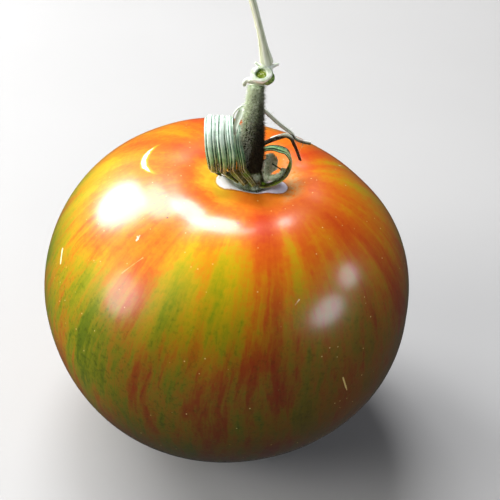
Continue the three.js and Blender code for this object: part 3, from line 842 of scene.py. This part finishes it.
for number, (root, left, slant, (hub_y, hub_z), size, (start, end), width) in enumerate(COILS, 1):
    steps = round((end - start) / COIL_STEP)
    midrib = []
    for step in range(steps + 1):
        angle = lerp(start, end, step / steps)
        radius = size * (1 - COIL_TIGHTENING * angle / 360)
        x = left + slant * max(0, 1 - angle / 180) + COIL_DRIFT * max(0, angle - COIL_DRIFT_FROM) / 100
        y = hub_y - radius * math.sin(math.radians(angle))
        midrib.append((x, y, hub_z - radius * math.cos(math.radians(angle))))
    shape = blade(root, midrib, (1, 0, 0), width, seed=number, **COIL_FORM)
    sepal = add_grown(f"sepal_coil_{number}", [shape], COIL_HAIRS)
    sepal_green.cover(sepal)
    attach(sepal, "root")
    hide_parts(f"sepal_coil_{number}")

# Ring sepal and inner sepal.
# On the right one sepal sweeps out, up and back as an open ring, and a short cupped one stands
# beside the stem inside it. They are blades like the coils.
RING_MIDRIB = [
    (11.3, -4.9, 75.4),
    (14.1, -4.6, 76.3),
    (16.4, -3.6, 78.2),
    (17.2, -2.2, 80.6),
    (16.3, -0.6, 82.1),
    (14.1, 0.9, 82.1),
    (11.9, 1.8, 81.5),
    (10.4, 2.3, 80.6),
]
INNER_MIDRIB = [(12.6, -1.6, 77.3), (12.8, -1.0, 79.4), (12.6, -0.3, 81.2)]
INNER_RIM = [
    (11.4, -2.9, 76.7),
    (12.5, -3.3, 76.6),
    (14.2, -3.2, 76.9),
    (15.3, -2.7, 77.6),
    (15.7, -2.2, 78.6),
]
INNER_SPUR = [(12.9, -1.9, 79.7), (14.2, -2.3, 79.0), (15.3, -2.6, 78.3)]
RING_HAIRS = [(0, 2000, 0.28 * MM, 0.022 * MM)]
INNER_HAIRS = [(0, 3000, 0.6 * MM, 0.05 * MM), (1, 1400, 0.5 * MM, 0.05 * MM)]


def strand(points, first, last, rows, around):
    """A round strand through points, first in radius where it starts and last where it ends."""
    line = np.array(points) * MM
    return tube(line, lambda share, angle: lerp(first, last, share) * MM + 0 * angle, rows, around)


ring_shape = blade(298, RING_MIDRIB, (0, 1, 0), 2.5, 0.4, 0.65, ribs=2, seed=8, rib_height=0.16, foot=0.62)
inner_shape = blade(345, INNER_MIDRIB, (0.7, 0.7, 0), 4.4, -0.7, 0.3, ribs=5, seed=9, foot=0.5)
rim = strand(INNER_RIM, 0.6, 0.3, 60, 14)
spur = strand(INNER_SPUR, 0.2, 0.12, 30, 10)
inner_pale = Finish("sepal_inner_pale", Roughness=0.8, Specular_IOR_Level=0.3)
relief = inner_pale.part(inner_pale.attribute("lie", "Vector"), "Y")
blotch = inner_pale.noise(inner_pale.place(), 1300.0, 4.0, 0.75)
PALE_GREENS = [
    (0.3, 36, 50, 20),
    (0.42, 112, 136, 84),
    (0.54, 184, 204, 158),
    (0.7, 240, 248, 226),
]
pale_colour = inner_pale.ramp(relief * 0.3 + (blotch - 0.5) * 1.5 + 0.52, PALE_GREENS)
inner_pale.paint(pale_colour, height=blotch, bump_distance=0.00012)
RING_PIECES = [
    ("sepal_ring", sepal_green, [ring_shape], RING_HAIRS),
    ("sepal_inner", inner_pale, [inner_shape, (rim, 0.8), (spur, -0.9)], INNER_HAIRS),
]
for name, finish, parts, hairs in RING_PIECES:
    sepal = add_grown(name, parts, hairs)
    finish.cover(sepal)
    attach(sepal, "root")
    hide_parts(name)

# Withered sepals.
# Three thin blades that stand up behind the stem and have dried out: one bent down sharply to the
# right, one sagging further right, and one folded over to the left with a loose thread.
BENT_MIDRIB = [
    (10.1, 4, 78.8),
    (11.1, 3.9, 81.3),
    (12.7, 3.6, 82.7),
    (14.6, 3.2, 83.8),
    (16.2, 2.6, 84.6),
    (17.4, 2.3, 84.1),
    (18.2, 2.2, 82.3),
    (19.8, 2.2, 77.8),
]
LONG_MIDRIB = [
    (8.3, 3.5, 80),
    (8.5, 3.6, 85.2),
    (9.6, 3.5, 90.1),
    (10.8, 3.4, 91),
    (12.4, 3.6, 89.3),
    (14.7, 3.8, 86.8),
    (17.7, 3.9, 84),
    (18.5, 3.8, 82.8),
    (20.2, 3.7, 82),
    (22.1, 3.6, 81.6),
]
FOLDED_MIDRIB = [
    (7.1, 3.2, 82.8),
    (7, 3, 89.1),
    (6.8, 2.4, 91.7),
    (6.1, 1.9, 92),
    (5.5, 1.4, 91.2),
    (4.8, 0.6, 89.9),
    (4.1, -1, 87),
]
EDGE_RISE, EDGE_FORWARD = 0.42, 0.1
THREAD_LINE = [(6.7, 2.2, 92.3), (6.2, 1.7, 93.1), (5.3, 1.2, 93.0), (4.4, 0.6, 92.2), (3.8, 0.2, 90.9)]
bent, bent_relief = blade(65, BENT_MIDRIB, (0, -0.5, 1), 1.4, 0.2, 0.5, ribs=2, seed=15, rib_height=0.06)
sagging = blade(98, LONG_MIDRIB, (0, -0.7, 0.7), 1.2, 0.15, 0.5, ribs=2, seed=16, rib_height=0.06)
folded = blade(130, FOLDED_MIDRIB, (1, -0.25, 0), 1.8, 0.3, 0.6, ribs=2, seed=17, rib_height=0.08)


def dry_edge(midrib):
    """The pale, rolled-in upper edge of a withered blade."""
    line = [(x, y - EDGE_FORWARD, z + EDGE_RISE) for x, y, z in midrib]
    return strand(line, 0.26, 0.156, 90, 10)


bent_edge = dry_edge(BENT_MIDRIB[2:7])
long_edge = dry_edge(LONG_MIDRIB[3:])
thread = strand(THREAD_LINE, 0.264, 0.12, 40, 10)
SHORT_DOWN = (0, 900, 0.3 * MM, 0.02 * MM)
LONG_HAIRS = [(0, 1400, 0.4 * MM, 0.025 * MM), (0, 50, 1.6 * MM, 0.05 * MM)]
THREAD_DOWN = (1, 60, 0.3 * MM, 0.02 * MM)
DRY_PIECES = [
    ("sepal_dry_bent", [(bent, bent_relief * 0.3), (bent_edge, 1.4)], [SHORT_DOWN]),
    ("sepal_dry_long", [sagging, (long_edge, 1.5)], LONG_HAIRS),
    ("sepal_dry_left", [folded, (thread, 0.7)], [SHORT_DOWN, THREAD_DOWN]),
]
sepal_dry = Finish("sepal_dry", Roughness=0.8, Specular_IOR_Level=0.3)
lie = sepal_dry.attribute("lie", "Vector")
relief = sepal_dry.part(lie, "Y")
hair = sepal_dry.part(lie, "Z")
place = sepal_dry.place()
blotch = sepal_dry.noise(place, 600.0, 3.0)
WITHERED = [
    (0.28, 34, 28, 18),
    (0.44, 94, 94, 66),
    (0.58, 172, 178, 148),
    (0.76, 250, 252, 240),
]
dry_colour = sepal_dry.ramp(relief * 0.5 + blotch * 0.5, WITHERED)
# The left blade is pale high up, partly pale from bleaching and partly painted light; the two right
# ones are pale on top, and the bent one's tip is red.
high = sepal_dry.part(place, "Z")
aside = sepal_dry.part(place, "X")
bleached_and_lit = high.between(0.082, 0.086) * aside.between(0.008, 0.0065)
dry_colour = sepal_dry.mix(bleached_and_lit * 0.85, dry_colour, srgb(232, 242, 226))
faded = high.between(0.0838, 0.0848) * aside.between(0.0105, 0.0115)
dry_colour = sepal_dry.mix(faded * 0.85, dry_colour, srgb(216, 220, 196))
red_tip = high.between(0.0830, 0.0818) * aside.between(0.0172, 0.0178) * aside.between(0.0204, 0.0200)
dry_colour = sepal_dry.mix(red_tip * 0.55, dry_colour, srgb(70, 32, 14))
dry_colour = sepal_dry.mix(hair.between(0.1, 0.7), dry_colour, srgb(206, 210, 190))
sepal_dry.paint(dry_colour, height=blotch, bump_distance=0.0001, bump_strength=0.6)
for name, parts, hairs in DRY_PIECES:
    sepal = add_grown(name, parts, hairs)
    sepal_dry.cover(sepal)
    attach(sepal, "root")
    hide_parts(name)

# Knuckle.
# The swollen joint of the truss on top of the pedicel, with a green bulge on its right and a stub
# that was cut across: green pith in a pale rim. A pale lip hooks out to the left, and two scales
# stand at the stalk's foot.
KNUCKLE_VOXEL = 0.085 * MM
JOINT_LINE = [
    (9.35, -0.8, 100.65),
    (9.7, -0.75, 101.5),
    (10.6, -0.6, 102.7),
    (11.1, -0.8, 104.2),
    (11.4, -0.65, 105.5),
]
BULGE_LINE = [(11.1, -1.5, 101.2), (11.7, -1.6, 102.3), (12.2, -1.4, 103.5)]
STUB_LINE = [(10.6, -1.1, 101.6), (10.2, -3.1, 104.4)]
LIP_LINE = [
    (9.2, -1.2, 101.4),
    (7.9, -1.7, 101.8),
    (6.9, -1.9, 101.8),
    (6.55, -1.9, 101.2),
    (6.6, -1.9, 100.6),
]
SCALE_LINES = [
    [(10.4, -0.9, 104.6), (9.5, -1.0, 105.3), (8.9, -1.0, 105.9)],
    [(12.2, -0.9, 104.6), (13.2, -0.9, 105.1), (14.0, -1.0, 105.5)],
]
STUB_RADIUS, CUP_RADIUS, CUP_DEPTH = 2.1, 1.25, 0.6
BULGE_GREEN = np.array((12.0, -2.2, 102.1))


def joint_radius(share, angle):
    return (1.35 + 0.65 * bump_curve((share - 0.5) / 0.28)) * (1 + 0.06 * np.cos(3 * angle)) * MM


def stub_radius(share, angle):
    uneven = 1 + 0.13 * np.cos(2 * angle) + 0.03 * np.cos(5 * angle)
    return STUB_RADIUS * lerp(0.65, 1, ease(share * 1.2)) * uneven * MM


def bulge_radius(share, angle):
    return (0.95 + 0.5 * np.sin(math.pi * share)) * (1 + 0.05 * np.cos(6 * angle)) * MM


def lip_radius(share, angle):
    return lerp(0.85, 0.4, share) * (1 + 0.12 * np.cos(3 * angle)) * MM


def scale_radius(share, angle):
    return lerp(0.55, 0.3, share) * MM + 0 * angle


def cup_radius(share, angle):
    return CUP_RADIUS * (1 + 0.1 * np.cos(2 * angle)) * MM + 0 * share


face = np.array(STUB_LINE[1])
stub_out = unit(face - np.array(STUB_LINE[0]))
cup_line = [face - stub_out * CUP_DEPTH, face + stub_out]
solids = [
    tube(np.array(JOINT_LINE) * MM, joint_radius, 24, 36),
    tube(np.array(STUB_LINE) * MM, stub_radius, 24, 36),
    tube(np.array(BULGE_LINE) * MM, bulge_radius, 16, 24),
    tube(np.array(LIP_LINE) * MM, lip_radius, 20, 20),
    *(tube(np.array(line) * MM, scale_radius, 10, 12) for line in SCALE_LINES),
]
cup = tube(np.array(cup_line) * MM, cup_radius, 4, 32)
knuckle = add_piece("knuckle", skin_mesh("knuckle", solids[0]))


def settle(piece):
    """Gives a piece the mesh that its modifiers make, and takes the modifiers off."""
    seen = piece.evaluated_get(bpy.context.evaluated_depsgraph_get())
    made = bpy.data.meshes.new_from_object(seen)
    piece.modifiers.clear()
    piece.data = made


for operand, operation in (*((solid, "UNION") for solid in solids[1:]), (cup, "DIFFERENCE")):
    tool = add_piece("tool", skin_mesh("tool", operand))
    cut = knuckle.modifiers.new("cut", "BOOLEAN")
    cut.object = tool
    cut.operation = operation
    settle(knuckle)
    bpy.data.objects.remove(tool)
remesh = knuckle.modifiers.new("remesh", "REMESH")
remesh.mode = "VOXEL"
remesh.voxel_size = KNUCKLE_VOXEL
smooth = knuckle.modifiers.new("smooth", "SMOOTH")
smooth.iterations = 3
settle(knuckle)
knuckle.data.name = "knuckle"
knuckle.data.shade_smooth()
knuckle_green = Finish("knuckle_green", Roughness=0.8, Specular_IOR_Level=0.3)
place = knuckle_green.place()
blotch = knuckle_green.noise(place, 900.0, 3.0)
pith_middle = tuple((face - stub_out * CUP_DEPTH * 0.5) * MM)
pith = knuckle_green.distance(place, pith_middle) + (blotch - 0.5) * 0.0006
sparkle = knuckle_green.noise(place, 2600.0, 2.0)
pith_colour = knuckle_green.mix(blotch.between(0.3, 0.7), srgb(70, 108, 10), srgb(172, 190, 60))
pith_colour = knuckle_green.mix(sparkle.between(0.56, 0.64), pith_colour, srgb(240, 246, 200))
flesh = knuckle_green.mix(blotch.between(0.3, 0.7), srgb(204, 218, 184), srgb(252, 254, 246))
right_low = knuckle_green.distance(place, tuple(BULGE_GREEN * MM)) + (blotch - 0.5) * 0.0012
right_green = knuckle_green.mix(sparkle.between(0.42, 0.6), srgb(52, 92, 12), srgb(150, 180, 90))
flesh = knuckle_green.mix(right_low.between(0.0024, 0.0016), flesh, right_green)
low = knuckle_green.part(place, "Z").between(0.1022, 0.1012)
flesh = knuckle_green.mix(low * 0.6, flesh, srgb(140, 160, 112))
flesh = knuckle_green.mix(pith.between(0.00135, 0.0010), flesh, pith_colour)
knuckle_green.paint(flesh, height=blotch, bump_distance=0.0001)
knuckle_green.cover(knuckle)
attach(knuckle, "root")
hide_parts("knuckle")

# Stalk.
# The thin dry piece of truss stalk that goes on up from the knuckle, cut off at its top. It is
# pale, ridged along its length, and has a few small bumps.
STALK_LINE = [
    (11.45, -0.62, 105.56),
    (11, -0.75, 108),
    (10.3, -0.7, 111.8),
    (9.35, -0.4, 116),
    (8.3, 0, 120.1),
    (6.7, 0.5, 125),
]
STALK_ROWS, STALK_AROUND = 220, 48
STALK_HAIRS = [(0, 700, 0.22 * MM, 0.02 * MM)]


def stalk_relief(share, angle):
    return 0.5 + 0.35 * np.cos(4 * angle + 2 * share) + 0.15 * np.cos(11 * angle - 3 * share)


def stalk_radius(share, angle):
    knots = 0.12 * bump_curve((share - 0.24) / 0.012) + 0.1 * bump_curve((share - 0.45) / 0.012)
    knots = knots * bump_curve(turn_between(angle, math.pi) / 0.7)
    return (0.76 + 0.64 * bump_curve(share / 0.2) + knots) * (0.93 + 0.12 * stalk_relief(share, angle)) * MM


stalk_rings = tube(np.array(STALK_LINE) * MM, stalk_radius, STALK_ROWS, STALK_AROUND)
angles_round = 2 * math.pi * np.arange(STALK_AROUND) / STALK_AROUND
share_grid, angle_grid = np.meshgrid(np.linspace(0, 1, STALK_ROWS), angles_round, indexing="ij")
stalk = add_grown("stalk", [(stalk_rings, stalk_relief(share_grid, angle_grid))], STALK_HAIRS)
stalk_pale = Finish("stalk_pale", Roughness=0.7, Specular_IOR_Level=0.35)
relief = stalk_pale.part(stalk_pale.attribute("lie", "Vector"), "Y")
blotch = stalk_pale.noise(stalk_pale.stretch(stalk_pale.place(), (1, 1, 0.2)), 900.0, 3.0)
STALK_CREAMS = [(0.25, 176, 180, 140), (0.5, 224, 228, 198), (0.75, 246, 248, 230)]
stalk_colour = stalk_pale.ramp(relief * 0.5 + blotch * 0.5, STALK_CREAMS)
stalk_pale.paint(stalk_colour, height=blotch, bump_distance=0.00006)
stalk_pale.cover(stalk)
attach(stalk, "root")
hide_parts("stalk")
